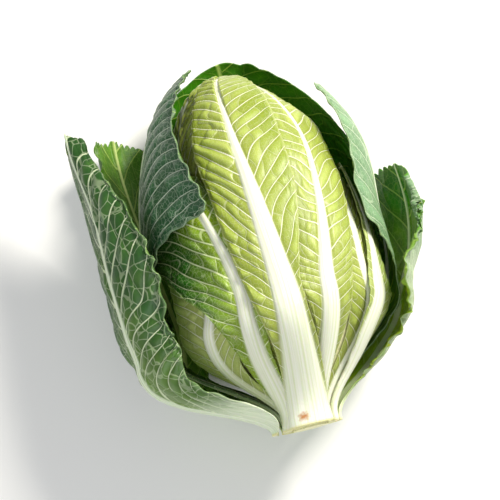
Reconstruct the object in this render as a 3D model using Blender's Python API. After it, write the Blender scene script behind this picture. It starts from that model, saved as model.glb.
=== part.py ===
"""Napa cabbage lying on its back: a cut stem with its packed heart, and the separate leaves round it.

Every leaf is a sheet laid in the head's own coordinates: a station along the head, an angle round it
and a rise outside the heart. Sheets of different rise never meet, so the leaves nest like the real ones.
Lengths are in metres, angles in degrees. The head lies along Y with the cut end towards -Y, and an angle
of 0 faces up, 90 faces +X and 180 faces the surface it lies on. The origin is on that surface, at the
middle of the head.
"""

import math

import bpy
import numpy as np

# Head
STEM_RADIUS = 0.0150  # solid stem inside the leaf stalks
HEART_RADIUS = 0.0780  # packed heart at the waist
WAIST = 0.122  # station of the widest place
CROWN = 0.166  # from the waist to the top of the heart
CROWN_ARC = 0.196  # the same, measured over the curve
DEPTH_RATIO = 0.86  # head depth over head width
BOW = 0.005  # sideways bow of the centre line at mid length
BELL_START = 0.07  # where the heart begins to widen, as a share of the waist station
BELL_SPAN = 0.73  # how long the widening takes, as a share of the waist station
SPREAD_SPAN = 0.20  # how much shorter the widening is for a leaf that spreads wide
PRESS_HEIGHT = 0.045  # height below which the leaves press flat on the surface
PRESS_SHARE = 0.45  # how strongly they press flat

# Leaves
LEAF_THICKNESS = 0.0012  # blade
STALK_THICKNESS = 0.0034  # midrib at the cut, blade included
RIB_TIP_THICKNESS = 0.0018  # midrib at the tip, blade included
GAP = 0.0003  # clearance between neighbouring stalks on the stem
CURVE_ROOM = 0.0008  # room between two stalks for the outer one to curve over the inner
LAYER = STALK_THICKNESS + CURVE_ROOM  # one stalk layer on the stem
FLARE_SPAN = 0.5  # share of a leaf's length over which its margins begin to flare
RUFFLES = 4.0  # waves along a margin
MOST_SIDE = 2.4  # widest wrap of a leaf round the head to one side, in radians
HEART_GAP = 0.00012  # how far the packed heart stays inside its own shell, beyond the flats of its mesh
CUT_STEP = 0.0010  # how far the stalks stop short of the cut face

MM = 0.001

# Mesh
ALONG = 24  # spans along a leaf
ACROSS = 8  # spans across a leaf
HEART_ALONG = 30
HEART_ROUND = 32
HEART_FLATS = HEART_RADIUS * (1.0 - math.cos(math.pi / HEART_ROUND))  # how deep its flats cut in
HEART_CLEARANCE = HEART_GAP + HEART_FLATS  # the whole step from its shell


def bell(station, spread):
    """Smooth 0 to 1 step that widens a sheet from the stem to the waist, sooner for a leaf that spreads."""
    start = BELL_START * (1.0 - spread)
    t = np.clip((station / WAIST - start) / (BELL_SPAN - SPREAD_SPAN * spread), 0.0, 1.0)
    return t * t * (3.0 - 2.0 * t)


def body_radius(station, rise, seat, spread):
    """Radius of a sheet about the centre line: the stem's below, the heart's above."""
    foot = STEM_RADIUS + seat
    return foot + (HEART_RADIUS + rise - foot) * bell(station, spread)


def place(station, angle, side, rise, seat, spread):
    """Points of a sheet: `side` is the angle sideways from the line at `angle`, `rise` the height outside
    the heart above the stem, and `seat` the height outside the stem at the cut."""
    lat = np.clip((station - WAIST) / CROWN_ARC, 0.0, None) * math.pi / 2.0
    radius = body_radius(station, rise, seat, spread)
    out = radius * np.cos(side) * np.cos(lat)
    sideways = radius * np.sin(side)
    y = np.minimum(station, WAIST) + (CROWN + rise) * np.cos(side) * np.sin(lat)
    turn = np.radians(angle)
    x = out * np.sin(turn) + sideways * np.cos(turn)
    z = (out * np.cos(turn) - sideways * np.sin(turn)) * DEPTH_RATIO
    x = x + BOW * np.sin(math.pi * np.clip(y / (WAIST + CROWN), 0.0, 1.0))
    return np.stack([x, y, z], axis=-1)


def curve(values, q):
    """Smooth curve through values spaced evenly from q = 0 to q = 1."""
    values = np.asarray(values, float)
    count = len(values) - 1
    slopes = np.gradient(values)
    cell = np.clip(np.floor(q * count).astype(int), 0, count - 1)
    t = q * count - cell
    lift = values[cell] * (1 + 2 * t) * (1 - t) ** 2 + values[cell + 1] * t * t * (3 - 2 * t)
    return lift + slopes[cell] * t * (1 - t) ** 2 - slopes[cell + 1] * t * t * (1 - t)


def press(z, floor):
    """Squeezes heights near the surface, so the underside of the head lies flat on it."""
    height = z - floor
    under = np.clip(1.0 - height / PRESS_HEIGHT, 0.0, None)
    return z + PRESS_SHARE * PRESS_HEIGHT * under ** 2 / 2.0


def grid_faces(rows, columns, first, flip):
    """Quads of a grid of points numbered row by row from `first`."""
    row, column = np.meshgrid(np.arange(rows), np.arange(columns), indexing="ij")
    a = first + row * (columns + 1) + column
    quads = np.stack([a, a + 1, a + columns + 2, a + columns + 1], axis=-1).reshape(-1, 4)
    return quads[:, ::-1] if flip else quads


def rim_faces(rows, columns):
    """Quads that join the edges of an inner grid to those of the outer grid numbered after it."""
    step = columns + 1
    lower = np.arange(columns)
    right = np.arange(rows) * step + columns
    upper = rows * step + np.arange(columns, 0, -1)
    left = np.arange(rows, 0, -1) * step
    ring = np.concatenate([lower, right, upper, left])
    other = np.roll(ring, -1)
    top = (rows + 1) * step
    return np.stack([ring, other, other + top, ring + top], axis=-1)


def add_object(name, points, faces, colour, home):
    mesh = bpy.data.meshes.new(name)
    mesh.from_pydata([tuple(p) for p in points], [], [tuple(int(i) for i in f) for f in faces])
    mesh.update()
    obj = bpy.data.objects.new(name, mesh)
    home.objects.link(obj)
    mesh.shade_smooth()
    material = bpy.data.materials.new(name)
    material.use_nodes = True
    shader = material.node_tree.nodes["Principled BSDF"]
    shader.inputs["Base Color"].default_value = (*colour, 1.0)
    shader.inputs["Roughness"].default_value = ROUGHNESS
    shader.inputs["Metallic"].default_value = 0.0
    mesh.materials.append(material)
    return obj


def leaf(plan):
    """Inner and outer face of one leaf as a closed loft, thickest along the midrib."""
    q, v = np.meshgrid(np.linspace(0, 1, ALONG + 1), np.linspace(-1, 1, ACROSS + 1), indexing="ij")
    end = WAIST + plan["past_waist"]
    tip = np.where(v < 0, plan["tip"][0], plan["tip"][1]) * np.abs(v) ** 1.5 * q ** 3 * MM
    station = CUT_STEP + (end - CUT_STEP) * q - tip
    angle = curve(plan["turn"], q)
    reach = np.where(v < 0, curve(plan["left"], q), curve(plan["right"], q)) * v * MM
    seat = GAP + LAYER * plan["layer"]
    spread = plan["spread"]
    wrap = body_radius(station, curve(plan["rise"], q) * MM, seat, spread)
    side = np.clip(reach / wrap, -MOST_SIDE, MOST_SIDE)
    lat = np.clip((station - WAIST) / CROWN_ARC, 0.0, None) * math.pi / 2.0
    real_lat = np.arcsin(np.clip(np.cos(side) * np.sin(lat), -1.0, 1.0))
    real_station = np.where(lat > 0, WAIST + real_lat / (math.pi / 2.0) * CROWN_ARC, station)
    real_station = np.where(lat > math.pi / 2.0, station, real_station)
    level = np.clip((real_station - CUT_STEP) / (end - CUT_STEP), 0.0, 1.0)
    t = np.clip((q - plan["flare_from"]) / FLARE_SPAN, 0.0, 1.0)
    flare = np.where(v < 0, plan["flare"][0], plan["flare"][1]) * v ** 2 * t * t * (3 - 2 * t)
    ruffle = plan["ruffle"] * v ** 4 * np.sin(2 * math.pi * RUFFLES * q) * t ** 3
    rise = (curve(plan["rise"], level) + flare + ruffle) * MM
    rib = STALK_THICKNESS * (1 - q) + RIB_TIP_THICKNESS * q
    thick = LEAF_THICKNESS + (rib - LEAF_THICKNESS) * (1 - v * v) ** 3
    inner = place(station, angle, side, rise, seat, spread)
    outer = place(station, angle, side, rise + thick, seat + thick, spread)
    points = np.concatenate([inner.reshape(-1, 3), outer.reshape(-1, 3)])
    count = (ALONG + 1) * (ACROSS + 1)
    faces = [grid_faces(ALONG, ACROSS, 0, True), grid_faces(ALONG, ACROSS, count, False)]
    faces.append(rim_faces(ALONG, ACROSS))
    return points, np.concatenate(faces)


def stem_and_heart():
    """The cut stem and the packed heart that grows on it, as one closed turned shape."""
    q = np.linspace(0, 1, HEART_ALONG + 1)[1:-1]
    station = q * (WAIST + CROWN_ARC)
    angle = np.arange(HEART_ROUND) * 360.0 / HEART_ROUND
    station, angle = np.meshgrid(np.concatenate([[0.0], station]), angle, indexing="ij")
    body = place(station, angle, 0.0, -HEART_CLEARANCE, -HEART_CLEARANCE, 0.0).reshape(-1, 3)
    ends = np.array([[0.0, 0.0, 0.0], [0.0, WAIST + CROWN - HEART_CLEARANCE, 0.0]])
    points = np.concatenate([body, ends])
    rows = HEART_ALONG
    i = np.arange(HEART_ROUND)
    j = (i + 1) % HEART_ROUND
    faces = []
    for row in range(rows - 1):
        a = row * HEART_ROUND
        faces += np.stack([a + i, a + j, a + HEART_ROUND + j, a + HEART_ROUND + i], axis=-1).tolist()
    bottom, top, last = len(body), len(body) + 1, (rows - 1) * HEART_ROUND
    faces += [[bottom, b, a] for a, b in zip(i.tolist(), j.tolist())]
    faces += [[top, last + a, last + b] for a, b in zip(i.tolist(), j.tolist())]
    return points, faces


ROUGHNESS = 0.45  # waxy leaf
YELLOW = (0.55, 0.62, 0.17)
LIGHT = (0.36, 0.52, 0.11)
GREEN = (0.10, 0.26, 0.05)
DEEP = (0.05, 0.15, 0.03)
DUSTY = (0.12, 0.24, 0.13)
WHITE = (0.85, 0.85, 0.72)


def plan(name, past_waist, layer, spread, turn, left, right, rise, flare=(0, 0), flare_from=0.0,
         tip=(0, 0), ruffle=0, colour=GREEN):
    """One leaf. `past_waist` is how far its tip lies past the waist, in metres, and `layer` its place among
    the stalks. Angles in degrees, half widths and rises in millimetres, each spaced evenly from the cut to
    the tip. `tip` is how much shorter, in millimetres, the left and right margins are than the midrib."""
    return {
        "name": name, "past_waist": past_waist, "layer": layer, "spread": spread, "turn": turn,
        "left": left, "right": right, "rise": rise, "flare": flare, "flare_from": flare_from,
        "tip": tip, "ruffle": ruffle, "colour": colour,
    }


PLANS = [
    plan("heart_leaf_right_inner", 0.178, 0, 0.0, (88, 72, 63, 72, 80, 76, 70), (5, 12, 33, 42, 44, 28, 3),
         (6, 20, 34, 45, 42, 25, 3), (1, 1, 1), colour=YELLOW),
    plan("heart_leaf_left_pleated", 0.183, 0, 0.0, (-36, -38, -46, -54, -56), (5, 17, 46, 42, 6),
         (7, 26, 48, 42, 6), (1, 1, 1, 3, 6), colour=YELLOW),
    plan("heart_leaf_right", 0.190, 0, 0.0, (36, 28, 24, 32, 39, 42, 46), (7, 9, 24, 32, 36, 24, 3),
         (7, 9, 18, 27, 34, 28, 3), (7, 7, 6), colour=YELLOW),
    plan("leaf_lower_left", 0.113, 0, 0.2, (-88, -93, -73, -64, -70, -80, -84), (6, 12, 26, 32, 32, 22, 3),
         (5, 18, 45, 50, 40, 24, 3), (18, 15, 10, 10, 12), (6, -2), colour=LIGHT),
    plan("leaf_right_stalk", 0.058, 1, 0.2, (88, 80, 62, 62, 66, 70, 72), (7, 8, 12, 14, 10, 8, 2),
         (7, 12, 20, 26, 24, 14, 3), (8, 7, 6), colour=LIGHT),
    plan("leaf_middle_left", 0.118, 1, 0.1, (-66, -32, -24, -28, -44, -66, -78), (8, 12, 24, 45, 66, 46, 5),
         (8, 10, 14, 18, 22, 22, 5), (11, 11, 11, 12, 14), (8, 0), colour=GREEN),
    plan("heart_leaf_front", 0.196, 2, 0.1, (2, 2, 1, -2, -5, -7, -7), (17, 17, 33, 40, 42, 24, 3),
         (19, 17, 14, 33, 38, 30, 3), (17, 17, 16, 15, 14), colour=YELLOW),
    plan("leaf_back_top", 0.178, 0, 0.0, (174, 176, 178), (7, 36, 84, 104, 92, 34),
         (7, 36, 90, 128, 124, 56), (6, 6, 6, 14, 22, 26), ruffle=1, colour=DEEP),
    plan("leaf_right_rolled", 0.118, 1, 0.2, (134, 126, 120, 118, 116, 112, 106),
         (7, 12, 40, 104, 116, 84, 8), (7, 12, 22, 30, 28, 20, 8), (13, 13, 13, 14, 20, 28, 44),
         ruffle=1, colour=DUSTY),
    plan("leaf_upper_left", 0.163, 1, 0.3, (-112, -104, -96, -88, -84, -80, -72),
         (6, 16, 30, 34, 32, 24, 6), (6, 10, 12, 26, 82, 40, 12), (22, 24, 26, 27, 28), ruffle=1, colour=DUSTY),
    plan("leaf_left_behind", 0.090, 2, 0.7, (-130, -128, -126, -124, -122), (8, 28, 30, 36, 34),
         (8, 24, 28, 36, 36), (60, 50, 36, 50, 84), ruffle=2, colour=GREEN),
    plan("leaf_outer_right", 0.046, 2, 0.5, (116, 118, 118, 116, 112, 108, 104),
         (9, 26, 70, 104, 112, 72, 40), (9, 20, 26, 34, 56, 66, 56), (50, 40, 24, 25, 36, 48, 54),
         tip=(26, -4), ruffle=1, colour=GREEN),
    plan("leaf_under_head", 0.148, 2, 0.3, (180, 180, 180), (9, 40, 78, 82, 56, 12), (9, 40, 78, 82, 56, 12),
         (20, 20, 20, 23, 28, 32), ruffle=1, colour=DEEP),
    plan("leaf_outer_left", 0.081, 3, 0.7, (-90, -93, -95, -95, -94, -92, -90),
         (9, 30, 50, 56, 56, 46, 6), (9, 60, 92, 100, 100, 60, 6), (90, 76, 50, 56, 60, 68, 95), (0, -20),
         ruffle=2, colour=DEEP),
]


def build():
    for obj in list(bpy.data.objects):
        bpy.data.objects.remove(obj, do_unlink=True)
    home = bpy.data.collections.new("napa_cabbage")
    bpy.context.scene.collection.children.link(home)
    made = [("stem_and_heart", *stem_and_heart(), WHITE)]
    for item in PLANS:
        made.append((item["name"], *leaf(item), item["colour"]))
    floor = min(points[:, 2].min() for _, points, _, _ in made)
    for _, points, _, _ in made:
        points[:, 2] = press(points[:, 2], floor)
    everything = np.concatenate([points for _, points, _, _ in made])
    low, high = everything.min(axis=0), everything.max(axis=0)
    middle = (low + high) / 2.0
    for name, points, faces, colour in made:
        add_object(name, points - [middle[0], middle[1], low[2]], faces, colour, home)


build()
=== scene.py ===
# %% [markdown]
# # A napa cabbage, leaf by leaf
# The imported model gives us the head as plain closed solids: a stem with its heart and fourteen leaves.
# We load it first, because it fixes the size and the place of everything. Each leaf is then made again
# as a fine surface with a midrib, veins, blisters and a ruffled margin, in the same coordinates.

# %% Load the fixed frame
import math

import bpy
import numpy as np
from mathutils import Matrix, Vector


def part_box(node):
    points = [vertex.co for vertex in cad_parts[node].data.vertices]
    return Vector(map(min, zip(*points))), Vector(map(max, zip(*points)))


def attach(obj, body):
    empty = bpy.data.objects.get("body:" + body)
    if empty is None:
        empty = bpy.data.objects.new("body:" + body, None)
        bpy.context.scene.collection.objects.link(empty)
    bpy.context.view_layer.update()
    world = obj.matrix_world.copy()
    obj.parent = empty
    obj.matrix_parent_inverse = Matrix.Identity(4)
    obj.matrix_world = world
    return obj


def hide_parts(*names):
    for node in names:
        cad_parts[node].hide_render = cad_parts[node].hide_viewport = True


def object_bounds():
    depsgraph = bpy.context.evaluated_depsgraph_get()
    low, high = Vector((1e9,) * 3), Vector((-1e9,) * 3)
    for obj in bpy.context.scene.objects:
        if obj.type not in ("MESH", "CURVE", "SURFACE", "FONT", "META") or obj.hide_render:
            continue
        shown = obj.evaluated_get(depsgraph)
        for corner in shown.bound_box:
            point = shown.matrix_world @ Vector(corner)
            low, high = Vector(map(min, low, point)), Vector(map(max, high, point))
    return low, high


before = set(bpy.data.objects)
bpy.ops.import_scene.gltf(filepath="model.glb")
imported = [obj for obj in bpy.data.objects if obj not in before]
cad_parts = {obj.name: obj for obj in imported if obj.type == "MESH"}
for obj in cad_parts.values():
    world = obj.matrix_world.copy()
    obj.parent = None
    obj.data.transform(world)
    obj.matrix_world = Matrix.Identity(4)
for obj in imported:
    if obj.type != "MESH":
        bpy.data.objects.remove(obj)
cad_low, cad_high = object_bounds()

print("CAD box in mm:", [round((high - low) * 1000, 1) for low, high in zip(cad_low, cad_high)])

# %% [markdown]
# ## The head's own coordinates
# A cabbage leaf is easiest to describe the way it grows: how far it is along the head, which way it faces,
# how far outside the heart it lies. So we use a bell-shaped body for the head and hang every leaf on it.
# The sizes below are the head's own, and its axis is found from the stem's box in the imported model.

# %% Sizes of the head
MM = 0.001
STEM_RADIUS = 0.0150  # the stem inside the stalks, at the cut
HEART_RADIUS = 0.0780  # the heart at its widest
WAIST = 0.122  # from the cut to the widest place
CROWN = 0.166  # from the widest place to the far end, straight
CROWN_ARC = 0.196  # the same, along the surface
DEPTH_RATIO = 0.86  # depth over width
BOW = 0.005  # sideways bend of the axis
BELL_START, BELL_SPAN, SPREAD_SPAN = 0.07, 0.73, 0.20  # where the bell widens, as shares of the waist
PRESS_HEIGHT, PRESS_SHARE = 0.045, 0.45  # how high and how strongly the ground flattens the head
STALK_SEAT, STALK_LAYER = 0.0003, 0.0042  # gap under the first stalk, and from one stalk to the next
HEART_GAP = 0.0005  # from the heart's own surface to its first leaf
CUT_STEP = 0.0010  # the stalks start this far behind the stem's cut face
LOWEST_OUTER, LOWEST_INNER = 0.0003, 0.0008  # least height of each face of a leaf over the ground

heart_low, heart_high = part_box("stem_and_heart")
bow_at_waist = BOW * math.sin(math.pi * WAIST / (WAIST + CROWN))
AXIS = np.array([
    (heart_low.x + heart_high.x) / 2 - bow_at_waist,
    heart_low.y,
    heart_high.z - (HEART_RADIUS - HEART_GAP) * DEPTH_RATIO,
])
GROUND = -AXIS[2] - PRESS_SHARE * PRESS_HEIGHT / 2
print("axis of the head at the cut, in mm:", np.round(AXIS * 1000, 1))

# %% [markdown]
# ## Soft curves
# Nothing on a leaf changes in a straight line. A soft step blends one state into another, and a curve
# through a few evenly spaced values is enough to say how a width or an angle changes along a leaf.
# %% Soft curves
def smooth(t):
    """A soft step: three t squared minus two t cubed, between 0 and 1."""
    t = np.clip(t, 0.0, 1.0)
    return t * t * (3.0 - 2.0 * t)


def knots(values, q):
    """A smooth curve through values spaced evenly from q = 0 to q = 1, as cubic pieces."""
    values = np.asarray(values, float)
    count = len(values) - 1
    slopes = np.gradient(values)
    cell = np.clip(np.floor(q * count).astype(int), 0, count - 1)
    t = q * count - cell
    lift = values[cell] * (1 + 2 * t) * (1 - t) ** 2 + values[cell + 1] * t * t * (3 - 2 * t)
    return lift + slopes[cell] * t * (1 - t) ** 2 - slopes[cell + 1] * t * t * (1 - t)

print("soft step at a quarter, a half and three quarters:", smooth(np.array([0.25, 0.5, 0.75])))

# %% [markdown]
# ## A point on a leaf
# The head is a bell: it widens quickly from the stem to the waist and closes over the crown. A leaf is
# that bell, lifted a little. The head's own weight flattens whatever is near the ground.

# %% A point on a leaf
def body_radius(station, rise, seat, spread):
    """The stem's radius at the cut, growing along a soft step to the heart's radius plus the rise."""
    foot = STEM_RADIUS + seat
    start = BELL_START * (1.0 - spread)
    widen = smooth((station / WAIST - start) / (BELL_SPAN - SPREAD_SPAN * spread))
    return foot + (HEART_RADIUS + rise - foot) * widen


def place(station, angle, side, rise, seat, spread):
    """A point of a leaf sheet: radius times cosine and sine of the angle round the head, and past the
    waist the same arc carried over the crown. Heights near the ground are squeezed flat."""
    lat = np.clip((station - WAIST) / CROWN_ARC, 0.0, None) * math.pi / 2.0
    radius = body_radius(station, rise, seat, spread)
    out = radius * np.cos(side) * np.cos(lat)
    sideways = radius * np.sin(side)
    y = np.minimum(station, WAIST) + (CROWN + rise) * np.cos(side) * np.sin(lat)
    turn = np.radians(angle)
    x = out * np.sin(turn) + sideways * np.cos(turn)
    z = (out * np.cos(turn) - sideways * np.sin(turn)) * DEPTH_RATIO
    x = x + BOW * np.sin(math.pi * np.clip(y / (WAIST + CROWN), 0.0, 1.0))
    return np.stack([x, y, z], axis=-1)


def settle(points, lowest):
    """Squeezes heights near the ground as the head's weight does, and moves the points to the row frame."""
    points = points.copy()
    under = np.clip(1.0 - (points[..., 2] - GROUND) / PRESS_HEIGHT, 0.0, None)
    points[..., 2] += PRESS_SHARE * PRESS_HEIGHT * under ** 2 / 2.0
    points += AXIS
    points[..., 2] = np.maximum(points[..., 2], lowest)
    return points

# %% [markdown]
# ## How a leaf is drawn
# A leaf sheet is a grid: rows run from the cut to the tip, columns from the left margin to the right one.
# Three things turn the plain sheet into a leaf: a thick midrib, a pattern of side veins that sweep
# towards the tip, and the lamina between them, which grows faster than the veins and so puffs up in
# blisters. We work out the pattern once, use it to move the surface, and keep it on the mesh as
# attributes, so that the colours fall exactly where the relief is.

# %% The pattern of veins and blisters
ROWS, COLUMNS = 300, 110
GOLDEN = 0.618  # each row of cross veins is shifted by this share, so that they never line up
WOBBLE_LENGTH = 0.060  # metres over which side veins stray
CROSS_WOBBLE, CROSS_WOBBLE_LENGTH = 0.45, 0.030  # the same for cross veins, and by how much

def waves(a, b, seed, scale):
    """A smooth uneven field between about -1 and 1: a sum of six sine waves of different directions."""
    random = np.random.default_rng(seed)
    total = np.zeros(np.broadcast(a, b).shape)
    for turn, push, stretch in random.uniform((0, 0, 0.6), (math.pi, 2 * math.pi, 1.7), (6, 3)):
        phase = (a * np.cos(turn) + b * np.sin(turn)) * stretch * 2 * math.pi / scale + push
        total += np.sin(phase)
    return total / 3.0


def vein_pattern(plan, along, reach, v):
    """Side veins lie where `row` is whole: distance along the leaf less a slope and a curve of the
    distance from the midrib, over the vein spacing. `cross` counts the blisters along a row."""
    far = np.abs(reach)
    half = np.where(v < 0, 0.5, 0.0)
    wobble = waves(along, reach, plan["seed"], WOBBLE_LENGTH) * plan["wobble"]
    sweep = along - plan["slope"] * far - plan["bend"] * far ** 2
    table = np.linspace(-0.30, 0.40, 1400)
    spacing = knots(plan["spacing"], np.clip(table / plan["end"], 0, 1)) * MM
    count = np.cumsum(1.0 / spacing) * (table[1] - table[0])
    row = np.interp(sweep, table, count) + half + wobble
    cell = np.where(v < 0, plan["cell"][0], plan["cell"][1]) * MM
    uneven = waves(along, reach, plan["seed"] + 1, CROSS_WOBBLE_LENGTH)
    cross = far / cell + CROSS_WOBBLE * uneven
    return row, cross


def blisters(plan, row, cross, v, q):
    """Height of each puff: a rounded bump between two veins times a rounded bump between two cross veins,
    each puff a little taller or flatter than the next."""
    line = np.floor(row)
    step = cross + (line * GOLDEN) % 1.0
    between = np.sin(np.pi * (row - line)) ** 0.7
    within = np.sin(np.pi * (step - np.floor(step))) ** 0.6
    uneven = 0.65 + 0.35 * np.sin(line * 12.9 + np.floor(step) * 78.2)
    height = np.where(v < 0, plan["puff"][0], plan["puff"][1]) * knots(plan["puff_along"], q)
    return between * (0.35 + 0.65 * within) * uneven, height

# %% [markdown]
# ## The margin
# The margin of a real leaf has more length than it needs, so it ruffles, and its edge is scalloped. Some
# outer leaves also roll back, so that their pale underside shows along the edge.

# %% The margin
SCALLOP = 0.011  # length of one scallop
FOLD = 0.86  # the part of each side beyond this rolls back


def lobes(length, side, seed):
    """Scallops of a margin: the sine of the length along it, bent round into small uneven arches."""
    uneven = waves(length, side * 0.1, seed, 0.050)
    return np.abs(np.sin(length * math.pi / SCALLOP + 2.4 * uneven)) * (0.7 + 0.5 * uneven) - 0.5


def roll_margin(plan, q, v, reach, sheet):
    """Rolls the outer part of each side back on itself: past the fold, the distance along the sheet is
    wound round a circle that starts in the sheet's own direction and turns towards its outer normal."""
    for sign, turns in ((-1, plan["curl"][0]), (1, plan["curl"][1])):
        if turns == 0:
            continue
        column = int(round((FOLD * sign + 1) / 2 * COLUMNS))
        past = v * sign > FOLD
        away = sheet[:, column] - sheet[:, column - 2 * sign]
        away /= np.linalg.norm(away, axis=-1, keepdims=True) + 1e-12
        along = np.gradient(sheet[:, column], axis=0)
        out = np.cross(away, along) * sign
        out /= np.linalg.norm(out, axis=-1, keepdims=True) + 1e-12
        length = np.abs(reach - reach[:, column:column + 1])
        amount = turns * smooth((q - plan["curl_from"]) / 0.2)
        angle = np.where(past, amount * (np.abs(v) - FOLD) / (1 - FOLD), 0.0)
        radius = length / np.maximum(angle, 1e-4)
        wound = sheet[:, column:column + 1] + away[:, None] * (radius * np.sin(angle))[..., None]
        wound = wound + out[:, None] * (radius * (1 - np.cos(angle)))[..., None]
        mix = (past * smooth(amount / 0.3))[..., None]
        sheet = sheet * (1 - mix) + wound * mix
    return sheet

# %% [markdown]
# ## The sheet of one leaf
# First comes the middle surface, without thickness: the plan's widths and angles carried round the bell.
# A leaf that wraps far round has its edge nearer the waist than its midrib is, so the lift is read at the
# place where the point really lies. That keeps leaves nested over one another.

# %% The sheet of one leaf
def leaf_sheet(plan):
    """The middle surface of a leaf, its unit normals and its pattern, all as grids.
    The normal is the cross product of the two directions of the grid."""
    q, v = np.meshgrid(np.linspace(0, 1, ROWS + 1), np.linspace(-1, 1, COLUMNS + 1), indexing="ij")
    station = CUT_STEP + (plan["end"] - CUT_STEP) * q
    edge = smooth((np.abs(v) - 0.6) / 0.4) * smooth(q / 0.35)
    tip = np.where(v < 0, plan["tip"][0], plan["tip"][1]) * np.abs(v) ** 1.5 * q ** 3
    notch = lobes(v * 0.05 + 0.3, q, plan["seed"] + 5) * smooth((q - 0.8) / 0.2)
    station = station - (tip - plan["lobe"] * notch) * MM
    half_width = np.where(v < 0, knots(plan["left"], q), knots(plan["right"], q)) * MM
    reach = half_width * v + np.sign(v) * plan["lobe"] * MM * edge * lobes(station, v, plan["seed"] + 2)
    seat = STALK_SEAT + STALK_LAYER * plan["layer"]
    angle = knots(plan["turn"], q)
    wrap = body_radius(station, knots(plan["rise"], q) * MM, seat, plan["spread"])
    side = np.clip(reach / wrap, -2.4, 2.4)
    lat = np.clip((station - WAIST) / CROWN_ARC, 0.0, None) * math.pi / 2.0
    real_lat = np.arcsin(np.clip(np.cos(side) * np.sin(lat), -1.0, 1.0))
    real = np.where(lat > 0, WAIST + real_lat / (math.pi / 2.0) * CROWN_ARC, station)
    real = np.where(lat > math.pi / 2.0, station, real)
    level = np.clip((real - CUT_STEP) / (plan["end"] - CUT_STEP), 0.0, 1.0)
    flare = np.where(v < 0, plan["flare"][0], plan["flare"][1]) * v ** 2
    flare = flare * smooth((q - plan["flare_from"]) / 0.5)
    rise = (knots(plan["rise"], level) + flare) * MM
    sheet = place(station, angle, side, rise, seat, plan["spread"])
    sheet = roll_margin(plan, q, v, reach, sheet)
    along = np.gradient(sheet, axis=0)
    across = np.gradient(sheet, axis=1)
    normal = np.cross(across, along)
    normal /= np.linalg.norm(normal, axis=-1, keepdims=True) + 1e-12
    return q, v, station, reach, sheet, normal

# %% [markdown]
# ## From a sheet to a leaf
# The outer face and the inner face are the same sheet moved along its normal, so the leaf has a true
# thickness everywhere. Blisters, a slow sway and the ruffles move both faces together, and the midrib
# stands up on the outer face only, as it does on a real leaf.

# %% From a sheet to a leaf
SWAY_LENGTH = 0.075  # metres from swell to swell
RUFFLE_LENGTH, RUFFLE_UNEVEN = 0.07, 3.5  # how the ruffles drift, and by how many radians


def make_leaf(plan):
    """Outer face = sheet + normal x (relief + rib), inner face = sheet + normal x relief - thickness."""
    q, v, station, reach, sheet, normal = leaf_sheet(plan)
    row, cross = vein_pattern(plan, station, reach, v)
    puff, height = blisters(plan, row, cross, v, q)
    rib_half = knots(plan["rib"], q) * MM
    beside = np.abs(reach) / rib_half
    rib = np.clip(1.0 - beside ** 2, 0.0, 1.0) ** 0.6
    off_rib = smooth((beside - 0.8) / 0.9)
    room = off_rib * smooth((1.0 - np.abs(v)) / 0.12)
    relief = puff * height * room
    sway = waves(station, reach, plan["seed"] + 3, SWAY_LENGTH)
    sway = sway * plan["sway"] * off_rib * smooth(q / 0.3)
    push = RUFFLE_UNEVEN * waves(station, reach * 0.3, plan["seed"] + 4, RUFFLE_LENGTH)
    height_of_wave = 0.55 + 0.6 * waves(station, v, plan["seed"] + 6, 0.05)
    wave = np.sin(station * 2 * math.pi / (plan["wave"] * MM) + push) * height_of_wave
    ruffle = plan["ruffle"] * wave * np.abs(v) ** 6 * smooth(q / 0.4)
    lift = (relief + sway + ruffle) * MM
    dome = rib * knots(plan["stalk"], q) * MM
    blade = plan["blade"] * MM
    outer = settle(sheet + normal * (lift + blade + dome)[..., None], LOWEST_OUTER)
    inner = settle(sheet + normal * lift[..., None], LOWEST_INNER)
    by_width, by_length, start = plan["green"]
    shade = np.clip(by_width * np.abs(reach) / MM + by_length * q - start, 0, 1)
    pale = smooth((plan["pale"] - q) / 0.12 + 0.5)
    fields = {
        "row": row, "cross": cross, "shade": shade, "puff": puff * room, "far": np.abs(v),
        "rib": np.maximum(smooth((1.18 - beside) / 0.36), pale),
        "edge": smooth((np.abs(v) - 0.93) / 0.07),
    }
    return inner, outer, fields, station, reach

# %% [markdown]
# ## Points and quads into a mesh
# Two grids and a rim close the leaf. Points, corners and attributes are handed to the mesh as whole
# arrays, which is far quicker than one at a time. Each leaf then rides on the head's one body, and the
# CAD node it replaces is hidden.

# %% Points and quads into a mesh
def grid_quads(first, flip):
    """Corner numbers of every quad of a grid, counted row by row."""
    row, column = np.meshgrid(np.arange(ROWS), np.arange(COLUMNS), indexing="ij")
    a = first + row * (COLUMNS + 1) + column
    quads = np.stack([a, a + 1, a + COLUMNS + 2, a + COLUMNS + 1], axis=-1).reshape(-1, 4)
    return quads[:, ::-1] if flip else quads


def rim_quads():
    """Quads that join the edge of the inner grid, walked once round, to the edge of the outer grid."""
    step = COLUMNS + 1
    ring = np.concatenate([
        np.arange(COLUMNS), np.arange(ROWS) * step + COLUMNS,
        ROWS * step + np.arange(COLUMNS, 0, -1), np.arange(ROWS, 0, -1) * step,
    ])
    other = np.roll(ring, -1)
    top = (ROWS + 1) * step
    return np.stack([ring, other, other + top, ring + top], axis=-1)


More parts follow.
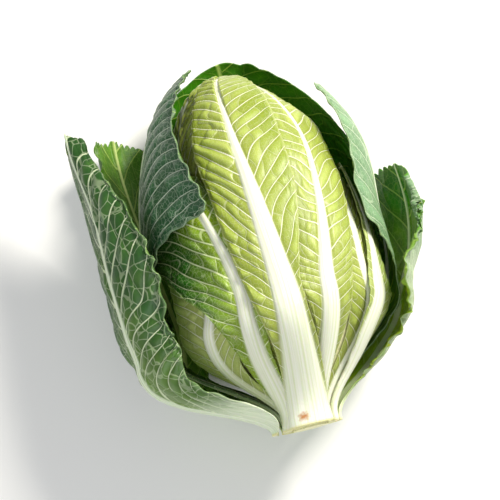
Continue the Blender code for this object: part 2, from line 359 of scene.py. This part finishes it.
def mesh_object(name, points, quads, fields, uv):
    """Puts whole arrays of points, corners and attributes into one mesh, and links it into the scene."""
    mesh = bpy.data.meshes.new(name)
    mesh.vertices.add(len(points))
    mesh.vertices.foreach_set("co", points.astype(np.float32).ravel())
    mesh.loops.add(quads.size)
    mesh.loops.foreach_set("vertex_index", quads.astype(np.int32).ravel())
    mesh.polygons.add(len(quads))
    mesh.polygons.foreach_set("loop_start", np.arange(len(quads), dtype=np.int32) * 4)
    mesh.update(calc_edges=True)
    layer = mesh.uv_layers.new(name="UVMap")
    layer.data.foreach_set("uv", uv[quads.ravel()].astype(np.float32).ravel())
    for key, values in fields.items():
        attribute = mesh.attributes.new(key, "FLOAT", "POINT")
        attribute.data.foreach_set("value", values.astype(np.float32).ravel())
    mesh.shade_smooth()
    mesh.validate()
    obj = bpy.data.objects.new(name, mesh)
    bpy.context.scene.collection.objects.link(obj)
    return obj


def leaf_object(plan):
    """Builds one leaf from its plan and lets it stand for its CAD node."""
    inner, outer, fields, station, reach = make_leaf(plan)
    points = np.concatenate([inner.reshape(-1, 3), outer.reshape(-1, 3)])
    count = (ROWS + 1) * (COLUMNS + 1)
    quads = np.concatenate([grid_quads(0, True), grid_quads(count, False), rim_quads()])
    both = {key: np.concatenate([f.ravel(), f.ravel()]) for key, f in fields.items()}
    both["outer"] = np.concatenate([np.zeros(count), np.ones(count)])
    uv = np.stack([station.ravel() * 3, reach.ravel() * 3 + 0.5], axis=-1)
    obj = mesh_object(plan["name"], points, quads, both, np.concatenate([uv, uv]))
    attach(obj, "root")
    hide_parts(plan["node"])
    return obj

# %% [markdown]
# ## Colours and node helpers
# Colours are chosen as sRGB hex, as a colour picker shows them, while a shader works in linear light, so
# one function converts them all. The others add one node each, and a material then reads like a recipe.

# %% Colours and node helpers
def linear(hex_colour):
    """An sRGB hex colour as the linear numbers a shader uses."""
    parts = [int(hex_colour[i:i + 2], 16) / 255.0 for i in (1, 3, 5)]
    return tuple(p / 12.92 if p <= 0.04045 else ((p + 0.055) / 1.055) ** 2.4 for p in parts) + (1.0,)


def add(tree, kind, settings, feeds, out=0):
    """Adds a node, sets its settings, feeds its sockets with values or links, and returns one output."""
    made = tree.nodes.new(kind)
    for key, value in settings.items():
        setattr(made, key, value)
    for key, value in feeds.items():
        if isinstance(value, bpy.types.NodeSocket):
            tree.links.new(value, made.inputs[key])
        else:
            made.inputs[key].default_value = value
    return made.outputs[out] if made.outputs else None


def maths(tree, operation, *feeds, clamp=False):
    """One math node on its feeds."""
    settings = {"operation": operation, "use_clamp": clamp}
    return add(tree, "ShaderNodeMath", settings, dict(enumerate(feeds)))


def blend(tree, amount, low, high):
    """The colour low where the amount is 0, and high where it is 1."""
    return add(tree, "ShaderNodeMix", {"data_type": "RGBA"}, {0: amount, 6: low, 7: high}, 2)


def remap(tree, value, start, stop, bottom=0.0, top=1.0, soft=False):
    """The value moved from start..stop to bottom..top, in a straight line or as a soft step."""
    settings = {"interpolation_type": "SMOOTHSTEP"} if soft else {}
    return add(tree, "ShaderNodeMapRange", settings, {0: value, 1: start, 2: stop, 3: bottom, 4: top})


def cloud(tree, where, scale, detail, out=0, **more):
    """Soft noise over the surface, as a number (output 0) or a colour (output 1)."""
    feeds = {"Vector": where, "Scale": scale, "Detail": detail, **more}
    return add(tree, "ShaderNodeTexNoise", {}, feeds, out)

# %% [markdown]
# ## Vein lines in the shader
# The mesh carries the pattern's counts, and a vein lies where a count is whole. The shader works the
# lines out from the counts, so they stay sharp at any size. The finest net is drawn a little coarser
# than life, so that it shows.

# %% Vein lines in the shader
VEIN_WIDTH, VEIN_TAPER = 0.10, -0.055  # of a side vein, in rows, and its change towards the margin
NET_BEND = 0.006  # metres


def vein_lines(tree, field, where, net, vein):
    """The brightest of three line patterns: side veins, cross veins and the finest net."""
    width = maths(tree, "MULTIPLY_ADD", field["far"], VEIN_TAPER * vein[0], VEIN_WIDTH * vein[0])
    ratio = maths(tree, "DIVIDE", maths(tree, "PINGPONG", field["row"], 0.5), width)
    side = remap(tree, ratio, 1.35, 0.55, soft=True)
    # Cross veins: the same along each row, shifted from one row to the next.
    shift = maths(tree, "MULTIPLY", maths(tree, "FLOOR", field["row"]), GOLDEN)
    step = maths(tree, "ADD", field["cross"], maths(tree, "FRACT", shift))
    cross = remap(tree, maths(tree, "PINGPONG", step, 0.5), 0.045, 0.015, top=vein[1], soft=True)
    # The net: edges of irregular cells, bent by noise so that none is straight.
    bend = cloud(tree, where, 60.0, 2.0, out=1)
    feeds = {0: bend, 1: (NET_BEND, NET_BEND, NET_BEND), 2: where}
    bent = add(tree, "ShaderNodeVectorMath", {"operation": "MULTIPLY_ADD"}, feeds)
    cells = {"Vector": bent, "Scale": net[1]}
    to_edge = add(tree, "ShaderNodeTexVoronoi", {"feature": "DISTANCE_TO_EDGE"}, cells)
    finest = remap(tree, to_edge, 0.05, 0.015, top=net[0], soft=True)
    return maths(tree, "MAXIMUM", maths(tree, "MAXIMUM", side, cross), finest)

# %% [markdown]
# ## Colour of the blade
# Each face has a colour near the midrib, one far from it and one on the veins. Hollows between blisters
# are darker and a little more saturated, because light reaches them less.

# %% Colour of the blade
def blade_colour(tree, field, colours, tone, veins, vein_strength):
    """The two faces' colours, by which face a point is on, with painted shade in blister hollows and a
    paler rim.
    """
    faces = []
    for near, far_tone, vein_tone in (colours["inner"], colours["outer"]):
        lamina = blend(tree, tone, linear(near), linear(far_tone))
        # Painted shade: a darker, more saturated copy of the colour fills the hollows between blisters,
        # mixed in by the relief amount.
        feeds = {"Saturation": 1.15, "Value": 0.5, "Color": lamina}
        painted_hollow_shade = add(tree, "ShaderNodeHueSaturation", {}, feeds)
        lamina = blend(tree, field["puff"], painted_hollow_shade, lamina)
        mixed = blend(tree, 0.35, painted_hollow_shade, lamina)
        lamina = blend(tree, colours["relief"], lamina, mixed)
        strength = maths(tree, "MULTIPLY", veins, vein_strength)
        faces.append(blend(tree, strength, lamina, linear(vein_tone)))
    skin = blend(tree, field["outer"], faces[0], faces[1])
    return blend(tree, maths(tree, "MULTIPLY", field["edge"], 0.35), skin, linear(colours["rim"]))

# %% [markdown]
# ## The cut end
# Where the stalk was cut it has dried to yellow, and one stalk has a brown scar. Both are placed by the
# leaf's own unrolled coordinates, so they stay with the leaf.

# %% The cut end
SCAR_AT = (0.026, 0.488, 0.0)


def cut_end(tree, skin, uv, where, colours):
    """The skin with its scar, where the leaf has one, and the dry yellow line at the cut."""
    if "scar" in colours:
        ragged = cloud(tree, where, 500.0, 4.0)
        spot = add(tree, "ShaderNodeVectorMath", {"operation": "DISTANCE"}, {0: uv, 1: SCAR_AT}, 1)
        spot = maths(tree, "MULTIPLY_ADD", ragged, 0.018, spot)
        bruise = remap(tree, spot, 0.024, 0.012, top=0.95)
        skin = blend(tree, bruise, skin, linear(colours["scar"]))
    ends = add(tree, "ShaderNodeSeparateXYZ", {}, {0: uv}, 0)
    return blend(tree, remap(tree, ends, 0.010, 0.004, top=0.8), skin, linear("#dfd98c"))

# %% [markdown]
# ## The material of a living leaf
# Leaf tissue is a thin, wet, waxy sheet: colour sits inside it, and the wax gives a soft satin gloss.
# The upper face is more saturated, the underside is paler and duller, and veins and midrib hold little
# green and look cream or white. One function serves all leaves, with the colours of each.

# %% The material of a living leaf
FIELDS = ("row", "cross", "rib", "shade", "puff", "edge", "far", "outer")


def leaf_material(name, colours, net=(0.35, 260.0), vein=(0.8, 0.45, 0.5), rough=0.42):
    """Living leaf, grown, with a wax bloom: satin, saturated between the veins, pale on them."""
    material = bpy.data.materials.new(name)
    material.use_nodes = True
    tree = material.node_tree
    tree.nodes.clear()
    field = {key: add(tree, "ShaderNodeAttribute", {"attribute_name": key}, {}, 2) for key in FIELDS}
    where = add(tree, "ShaderNodeTexCoord", {}, {}, 3)
    uv = add(tree, "ShaderNodeUVMap", {"uv_map": "UVMap"}, {}, 0)
    veins = vein_lines(tree, field, where, net, vein)
    blotch = remap(tree, cloud(tree, where, 38.0, 5.0, Roughness=0.6), 0.3, 0.7)
    uneven = maths(tree, "MULTIPLY_ADD", blotch, 0.35, -0.17)
    tone = maths(tree, "ADD", field["shade"], uneven, clamp=True)
    skin = blade_colour(tree, field, colours, tone, veins, vein[2])
    # Midrib: pale, with fibres running its whole length.
    stretched = add(tree, "ShaderNodeMapping", {}, {"Vector": uv, "Scale": (2.0, 160.0, 1.0)})
    fibre = remap(tree, cloud(tree, stretched, 1.6, 3.0), 0.42, 0.68, top=0.6)
    stalk = blend(tree, fibre, linear(colours["rib"][0]), linear(colours["rib"][1]))
    skin = cut_end(tree, blend(tree, field["rib"], skin, stalk), uv, where, colours)
    # Fine relief: veins stand up, fibres and pores roughen the wax.
    blade_only = maths(tree, "SUBTRACT", 1.0, field["rib"], clamp=True)
    ridges = maths(tree, "MULTIPLY", veins, blade_only)
    relief = maths(tree, "MULTIPLY_ADD", cloud(tree, where, 420.0, 3.0), 0.35, ridges)
    relief = maths(tree, "MULTIPLY_ADD", fibre, 0.25, relief)
    normal = add(tree, "ShaderNodeBump", {}, {"Height": relief, "Strength": 0.6, "Distance": 0.0006})
    shader = add(tree, "ShaderNodeBsdfPrincipled", {}, {
        "Base Color": skin, "Normal": normal, "IOR": 1.42, "Coat Weight": 0.12,
        "Roughness": remap(tree, blotch, 0.0, 1.0, rough - 0.06, rough + 0.08),
        "Coat Roughness": 0.35, "Subsurface Weight": 0.12, "Subsurface Scale": 0.003,
        "Subsurface Radius": (0.6, 1.0, 0.25),
    })
    add(tree, "ShaderNodeOutputMaterial", {}, {"Surface": shader})
    return material

# %% [markdown]
# ## The leaves and their plans
# Each plan gives a leaf's outline, its place round the head and how its surface behaves. Half widths and
# rises are millimetres at even steps from the cut to the tip, turns are degrees round the head, with 0
# facing up. Leaves from deep in the heart never saw the sun and stay pale yellow-green.

# %% Plans
DEFAULTS = {
    "curl": (0, 0), "curl_from": 0.5,  # roll of each margin in radians, and where it starts
    "flare": (0, 0), "flare_from": 0.0,  # lift of each margin, and where it starts
    "tip": (0, 0),  # how much shorter each margin is than the midrib
    "slope": 0.55, "bend": 2.0,  # how side veins sweep towards the tip
    "spacing": (9, 9), "cell": (18, 18), "wobble": 0.16,  # of side veins, of cross veins, unevenness
    "puff": (1.2, 1.2), "puff_along": (0.4, 1, 1, 1, 0.6),  # blisters, by side and along the leaf
    "sway": 0.8,  # slow swell of the whole blade
    "rib": (12, 6, 3, 1.5), "stalk": (3.0, 2.0, 1.2, 0.5),  # half width and height of the midrib
    "blade": 0.9,  # thickness
    "lobe": 0.5, "ruffle": 0.6, "wave": 14,  # scallops, ruffles and the length of a ruffle
    "green": (0.02, 0.3, 0.0),  # deeper green with distance from the midrib, along, and its start
    "pale": 0.06,  # share of the leaf at the cut that stays white
}


def leaf_plan(name, node, slot, skin, seed, **own):
    """One leaf: the defaults above with its own values over them."""
    return {**DEFAULTS, "name": name, "node": node, "slot": slot, "skin": skin, "seed": seed, **own}


LEAVES = [
    leaf_plan(
        "inner_right_heart_leaf", "heart_leaf_right_inner", "heart_leaf", "heart", 11,
        end=0.300, left=(6, 16, 30, 32, 32, 22, 3), right=(6, 22, 44, 58, 54, 30, 3),
        turn=(88, 70, 57, 59, 64, 66, 66), rise=(1, 1, 1), layer=0, spread=0.0,
        rib=(7, 5.5, 4, 2.4, 1.2), puff=(1.2, 1.2), cell=(10, 10), spacing=(8, 8)),
    leaf_plan(
        "pleated_left_heart_leaf", "heart_leaf_left_pleated", "heart_leaf", "heart", 12,
        end=0.305, left=(5, 17, 46, 58, 44), right=(7, 26, 48, 44, 26),
        turn=(-36, -38, -46, -56, -62), rise=(1, 1, 1, 6, 14), layer=0, spread=0.0,
        rib=(8, 6, 4, 2, 1), slope=2.2, bend=0.0, spacing=(13, 13), puff=(2.6, 2.6), cell=(60, 60)),
    leaf_plan(
        "right_heart_leaf", "heart_leaf_right", "heart_leaf", "heart", 13,
        end=0.312, left=(7, 9, 24, 33, 40, 30, 4), right=(7, 11, 24, 28, 30, 24, 3),
        turn=(36, 28, 25, 34, 45, 50, 52), rise=(7, 7, 6), layer=0, spread=0.0,
        rib=(9, 8.5, 6.4, 3.4, 1.9, 1.1, 0.8), stalk=(3.5, 3, 2.4, 1.6, 1.0, 0.6), puff=(1.1, 0.8),
        cell=(9, 14), spacing=(6, 6.5, 8, 9, 9), wobble=0.32, sway=1.4),
    leaf_plan(
        "lower_left_leaf", "leaf_lower_left", "light_leaf", "light", 14,
        end=0.235, left=(6, 14, 34, 42, 38, 24, 3), right=(5, 15, 30, 34, 34, 24, 3),
        turn=(-84, -74, -50, -40, -48, -66, -78), rise=(10, 9, 7, 7, 9), layer=0, spread=0.2,
        flare=(6, 0),
        rib=(7, 7, 6.5, 5, 3.4, 2, 1.2), stalk=(3.4, 3.2, 2.6, 1.8, 1.0, 0.6), spacing=(7.5, 8),
        puff=(1.3, 1.3), cell=(22, 22), green=(0.013, 0.4, 0.15)),
    leaf_plan(
        "right_stalk_leaf", "leaf_right_stalk", "light_leaf", "light", 15,
        end=0.180, left=(7, 8, 12, 14, 10, 8, 2), right=(7, 12, 20, 26, 24, 14, 3),
        turn=(88, 80, 62, 62, 66, 70, 72), rise=(8, 7, 6), layer=1, spread=0.2,
        rib=(10, 11, 11, 9, 5.5, 3, 1), stalk=(3.2, 3, 2.4, 1.8, 1, 0.6), spacing=(7, 8),
        puff=(0.6, 0.6)),
    leaf_plan(
        "middle_left_leaf", "leaf_middle_left", "green_leaf", "green", 16,
        end=0.186, left=(8, 10, 15, 27, 54, 78, 60), right=(8, 9.5, 12, 15, 18, 19, 14),
        turn=(-66, -38, -25, -20, -22, -30, -42), rise=(11, 11, 11, 12, 14), layer=1, spread=0.1,
        flare=(8, 0),
        rib=(9, 8.7, 7.6, 6.2, 4.6, 3.2, 2.2), stalk=(3.6, 3.3, 2.8, 2.3, 1.8, 1.3, 0.9),
        spacing=(8, 9, 11, 11), puff=(2.8, 1.4), cell=(16, 14), green=(0.022, 0.5, 0.22), ruffle=1.5,
        sway=2.2, wobble=0.28),
    leaf_plan(
        "front_heart_leaf", "heart_leaf_front", "heart_leaf", "heart", 17,
        end=0.318, left=(17, 17, 29, 33, 33, 17, 3), right=(19, 17, 14, 33, 38, 30, 3),
        turn=(2, 2, 1, -2, -5, -7, -7), rise=(17, 17, 16, 14, 9), layer=2, spread=0.1,
        rib=(20, 13, 9.6, 6.0, 2.4, 1.3, 0.9), stalk=(3.6, 3.4, 2.8, 2.0, 1.1, 0.7, 0.4),
        spacing=(9, 9.5, 10, 9, 8), puff=(3.2, 1.1), cell=(17, 13), slope=0.85, bend=3.0, wobble=0.3,
        sway=1.6),
    leaf_plan(
        "top_back_leaf", "leaf_back_top", "deep_leaf", "deep", 18,
        end=0.290, left=(7, 36, 84, 122, 150, 128), right=(7, 36, 90, 128, 140, 120),
        turn=(174, 176, 178), rise=(6, 6, 6, 14, 27, 37), layer=0, spread=0.0, flare=(10, 5),
        flare_from=0.55,
        rib=(9, 8, 6, 4, 2, 1.4), spacing=(16, 18), puff=(0.9, 0.9), ruffle=3.6, wave=12, lobe=5.0,
        green=(0.01, 0.6, 0.0)),
    leaf_plan(
        "rolled_right_leaf", "leaf_right_rolled", "green_leaf", "dusty", 19,
        end=0.223, left=(7, 12, 24, 44, 60, 40, 16), right=(7, 12, 22, 34, 50, 52, 24),
        turn=(134, 126, 118, 108, 92, 80, 76), rise=(13, 13, 14, 16, 18, 33, 36), layer=1, spread=0.2,
        curl=(0.3, 0), curl_from=0.45,
        rib=(9, 8, 6, 4, 2.5, 1.5, 1), spacing=(11, 14), puff=(0.7, 0.7), ruffle=1.4,
        green=(0.012, 0.5, 0.0)),
    leaf_plan(
        "upper_left_leaf", "leaf_upper_left", "green_leaf", "blue", 20,
        end=0.285, left=(6, 16, 30, 34, 32, 24, 6), right=(6, 10, 12, 44, 110, 56, 20),
        turn=(-112, -104, -96, -88, -84, -80, -72), rise=(22, 24, 26, 27, 28), layer=1, spread=0.3,
        curl=(0, 1.3), curl_from=0.55,
        rib=(8, 7, 5.5, 4, 2.6, 1.6, 1), spacing=(12, 12, 11, 9), puff=(1.0, 2.2), cell=(15, 15),
        ruffle=2.4, wave=12, lobe=1.8, green=(0.015, 0.5, 0.0)),
    leaf_plan(
        "behind_left_leaf", "leaf_left_behind", "green_leaf", "bright", 21,
        end=0.212, left=(8, 28, 30, 36, 34), right=(8, 24, 28, 36, 36),
        turn=(-130, -128, -126, -124, -122), rise=(60, 50, 36, 50, 84), layer=2, spread=0.7,
        rib=(8, 7, 4, 2.2, 1.4), spacing=(12, 13), puff=(1.6, 1.6), ruffle=3.4, wave=13, lobe=4.0,
        sway=2.4, green=(0.01, 0.5, 0.0)),
    leaf_plan(
        "outer_right_leaf", "leaf_outer_right", "green_leaf", "right", 22,
        end=0.168, left=(9, 20, 54, 92, 108, 72, 40), right=(9, 20, 26, 34, 56, 66, 56), tip=(26, -4),
        turn=(116, 118, 118, 116, 112, 108, 104), rise=(50, 40, 24, 25, 36, 48, 54), layer=2,
        spread=0.5, curl=(0.5, 0), curl_from=0.3,
        pale=0.1, rib=(9, 8, 6.5, 5, 3.2, 2, 1.4), spacing=(13, 14), puff=(0.9, 0.9), ruffle=3.0,
        wave=14, lobe=4.0, sway=2.0, green=(0.0, 1.6, 0.5)),
    leaf_plan(
        "under_head_leaf", "leaf_under_head", "deep_leaf", "deep", 23,
        end=0.270, left=(9, 40, 78, 82, 56, 12), right=(9, 40, 78, 82, 56, 12),
        turn=(180, 180, 180), rise=(20, 20, 20, 23, 28, 32), layer=2, spread=0.3,
        rib=(12, 9, 7, 5, 3, 1.6), spacing=(15, 16), puff=(0.9, 0.9), ruffle=2.0, green=(0.01, 0.6, 0.0)),
    leaf_plan(
        "outer_left_leaf", "leaf_outer_left", "deep_leaf", "dark", 24,
        end=0.203, left=(9, 38, 84, 100, 100, 78, 18), right=(9, 54, 56, 43, 54, 38, 6),
        turn=(-90, -86, -76, -70, -70, -73, -78), rise=(90, 76, 50, 56, 60, 68, 95), layer=3,
        spread=0.7, flare=(0, -20), curl=(0, 1.2), curl_from=0.35,
        rib=(10, 9, 7, 4.5, 3, 2, 1.4), spacing=(13, 15, 15, 12), puff=(2.6, 2.6), cell=(22, 22),
        sway=2.0, wobble=0.3, slope=0.8, pale=0.16, ruffle=2.2, wave=13, lobe=1.8,
        green=(0.01, 1.3, 0.1)),
]
print("plans:", len(LEAVES))

# %% [markdown]
# ## Skins
# Nine finishes cover the head, each with colours for the upper face (turned to the heart) and for the
# underside (turned out): close to the midrib, far from it, and on the veins.

# %% Skins
WHITE_RIB = ("#eff1e0", "#cfdba0")
# In each skin, relief is how strongly painted shade darkens the hollows between blisters.
SKINS = {
    "heart": leaf_material("blanched_heart_leaf", {
        "inner": ("#cdda80", "#a6bb42", "#f2f5d2"), "outer": ("#c9d676", "#a0b63c", "#f6f8de"),
        "rim": "#e6eca8", "rib": WHITE_RIB, "relief": 0.55, "scar": "#b9793a"},
        net=(0.16, 330.0), vein=(0.6, 0.26, 0.75)),
    "light": leaf_material("pale_green_leaf", {
        "inner": ("#d4e08c", "#a0c058", "#f0f6cc"), "outer": ("#d6e28e", "#a0c058", "#f4f8dc"),
        "rim": "#cfe08c", "rib": WHITE_RIB, "relief": 0.55},
        net=(0.16, 300.0), vein=(0.7, 0.35, 0.7)),
    "green": leaf_material("glossy_green_leaf", {
        "inner": ("#8fb83a", "#35701c", "#b7cf55"), "outer": ("#b2d050", "#2a6814", "#e2eeba"),
        "rim": "#a5c25a", "rib": WHITE_RIB, "relief": 0.35},
        net=(0.3, 300.0), vein=(0.7, 0.5, 0.75), rough=0.3),
    "dusty": leaf_material("dusty_green_leaf", {
        "inner": ("#4f9010", "#256602", "#9fc23c"), "outer": ("#a2c294", "#7ba577", "#d6e4c4"),
        "rim": "#b9d2a4", "rib": ("#e6efd8", "#c2d6a8"), "relief": 0.4},
        net=(0.35, 230.0), vein=(0.5, 0.5, 0.7), rough=0.5),
    "blue": leaf_material("blue_green_leaf", {
        "inner": ("#5d9424", "#2a6410", "#a6c64c"), "outer": ("#678f64", "#3c6c44", "#dcead0"),
        "rim": "#a9c39c", "rib": ("#dfe9cc", "#a9c492"), "relief": 0.5},
        net=(0.3, 230.0), vein=(0.5, 0.4, 0.8), rough=0.4),
    "bright": leaf_material("bright_green_leaf", {
        "inner": ("#86b83f", "#4d8a10", "#b9d468"), "outer": ("#8fb483", "#5c8a55", "#cfe0b8"),
        "rim": "#6da02c", "rib": ("#cfe08c", "#a3c455"), "relief": 0.4},
        net=(0.3, 200.0), vein=(0.45, 0.4, 0.7)),
    "right": leaf_material("lime_to_green_leaf", {
        "inner": ("#c8de2c", "#3f9404", "#b9d865"), "outer": ("#c3d6a4", "#8db283", "#dbe8c8"),
        "rim": "#7aa244", "rib": ("#e2ecc4", "#b9cf84"), "relief": 0.4},
        net=(0.3, 200.0), vein=(0.45, 0.4, 0.6)),
    "deep": leaf_material("deep_green_leaf", {
        "inner": ("#5aa40c", "#3a8406", "#a9cb4c"), "outer": ("#6d9a66", "#3f6b3c", "#c3d6ae"),
        "rim": "#3a7010", "rib": ("#b4cc6a", "#8fb24a"), "relief": 0.4},
        net=(0.2, 180.0), vein=(0.35, 0.3, 0.6)),
    "dark": leaf_material("dark_outer_leaf", {
        "inner": ("#5d9424", "#2a6410", "#a6c64c"), "outer": ("#90b256", "#36642a", "#dce8c0"),
        "rim": "#8fae74", "rib": ("#e2ebd0", "#a4bf88"), "relief": 0.35},
        net=(0.34, 95.0), vein=(0.6, 0.3, 0.8), rough=0.36),
}
print("finishes:", ", ".join(SKINS))

# %% [markdown]
# ## Grow the leaves
# Now the loop is short: build each leaf, give it its skin, and let it stand for its CAD node.

# %% Grow
triangles = 0
for plan in LEAVES:
    leaf = leaf_object(plan)
    leaf.data.materials.append(SKINS[plan["skin"]])
    triangles += 2 * len(leaf.data.polygons)
print(len(LEAVES), "leaves,", triangles, "triangles")

# %% [markdown]
# ## The cut stem and its heart
# The stem stays the CAD node: the leaves cover it but for the cut face. It only needs the colour of fresh
# cut tissue: cream, a little yellow, with darker dots where the bundles of fibres were cut.

# %% Stem finish
flesh = bpy.data.materials.new("fresh_cut_stem")
flesh.use_nodes = True
tree = flesh.node_tree
tree.nodes.clear()
here = add(tree, "ShaderNodeTexCoord", {}, {}, 3)
bundles = add(tree, "ShaderNodeTexVoronoi", {}, {"Vector": here, "Scale": 260.0}, 0)
dots = remap(tree, bundles, 0.35, 0.15, top=0.6)
tissue = blend(tree, dots, linear("#e9e6b4"), linear("#b9c27a"))
grain = add(tree, "ShaderNodeBump", {}, {"Height": bundles, "Strength": 0.4, "Distance": 0.0004})
wet = add(tree, "ShaderNodeBsdfPrincipled", {}, {
    "Base Color": tissue, "Roughness": 0.5, "Normal": grain, "IOR": 1.4,
})
add(tree, "ShaderNodeOutputMaterial", {}, {"Surface": wet})
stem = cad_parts["stem_and_heart"]
stem.data.materials.clear()
stem.data.materials.append(flesh)

# %% [markdown]
# ## Floor
# The head lies on a plain pale floor, large enough that its edges are never seen. It is matt, like
# paper, so that it throws soft light back under the leaves without mirroring them.

# %% Floor
HALF = 4  # metres from the middle to each side
floor_mesh = bpy.data.meshes.new("floor")
corners = [(-HALF, -HALF, 0), (HALF, -HALF, 0), (HALF, HALF, 0), (-HALF, HALF, 0)]
floor_mesh.from_pydata(corners, [], [(0, 1, 2, 3)])
floor = bpy.data.objects.new("floor", floor_mesh)
bpy.context.scene.collection.objects.link(floor)
paper = bpy.data.materials.new("matt_white_paper")
paper.use_nodes = True
matt = paper.node_tree.nodes["Principled BSDF"].inputs
matt["Base Color"].default_value = linear("#f4f4f2")
matt["Roughness"].default_value = 0.9
floor_mesh.materials.append(paper)

# %% [markdown]
# ## Camera
# The camera looks down on the head, almost from straight above and a little from the cut end, and is
# turned on its own axis so that the head leans to the left. Its place is measured from the cut, so it
# follows the CAD model.

# %% Camera
DISTANCE = 1.122  # from the cut, in metres, along the view
LENS = 101.54
OFF_RIGHT, OFF_UP = 0.04326, -0.12622  # where the cut sits in the frame, per metre of distance
ELEVATION, ROLL = math.radians(78.0), math.radians(14.5)
ahead = np.array([0.0, math.cos(ELEVATION), -math.sin(ELEVATION)])
straight_up = np.array([0.0, math.sin(ELEVATION), math.cos(ELEVATION)])
to_right = np.array([1.0, 0.0, 0.0])
right = to_right * math.cos(ROLL) - straight_up * math.sin(ROLL)
up = to_right * math.sin(ROLL) + straight_up * math.cos(ROLL)
aim = ahead + right * OFF_RIGHT + up * OFF_UP
eye = AXIS - aim * DISTANCE
camera_data = bpy.data.cameras.new("camera")
camera_data.lens = LENS
camera_data.sensor_width = 36.0
camera_data.clip_end = 50.0
camera = bpy.data.objects.new("camera", camera_data)
bpy.context.scene.collection.objects.link(camera)
turned = Matrix([[right[i], up[i], -ahead[i]] for i in range(3)]).to_4x4()
camera.matrix_world = Matrix.Translation(Vector(eye)) @ turned
bpy.context.scene.camera = camera
print("camera height in mm:", round(float(eye[2]) * 1000))

# %% [markdown]
# ## Light
# One soft lamp from the upper right gives the form: it rakes across the leaves, so each blister has a
# lit side and a shaded one. A weaker, larger one fills the shade, and a white world lifts the rest.

# %% Light
middle = (np.array(cad_low) + np.array(cad_high)) / 2


def soft_lamp(name, toward, distance, size, watts, colour):
    """A square area lamp `distance` metres from the head's middle, facing it."""
    data = bpy.data.lights.new(name, "AREA")
    data.size, data.energy, data.color = size, watts, linear(colour)[:3]
    lamp = bpy.data.objects.new(name, data)
    bpy.context.scene.collection.objects.link(lamp)
    toward = Vector(toward).normalized()
    lamp.rotation_euler = toward.to_track_quat("Z", "Y").to_euler()
    lamp.location = Vector(middle) + toward * distance


soft_lamp("key", (0.75, 0.45, 0.75), 1.3, 0.36, 25.0, "#fffaf0")
soft_lamp("fill", (-0.5, -0.6, 1.0), 1.8, 1.6, 14.0, "#f8faff")
world = bpy.data.worlds.new("studio")
world.use_nodes = True
world.node_tree.nodes["Background"].inputs["Color"].default_value = linear("#ffffff")
world.node_tree.nodes["Background"].inputs["Strength"].default_value = 0.38
bpy.context.scene.world = world
bpy.context.scene.view_settings.view_transform = "Standard"
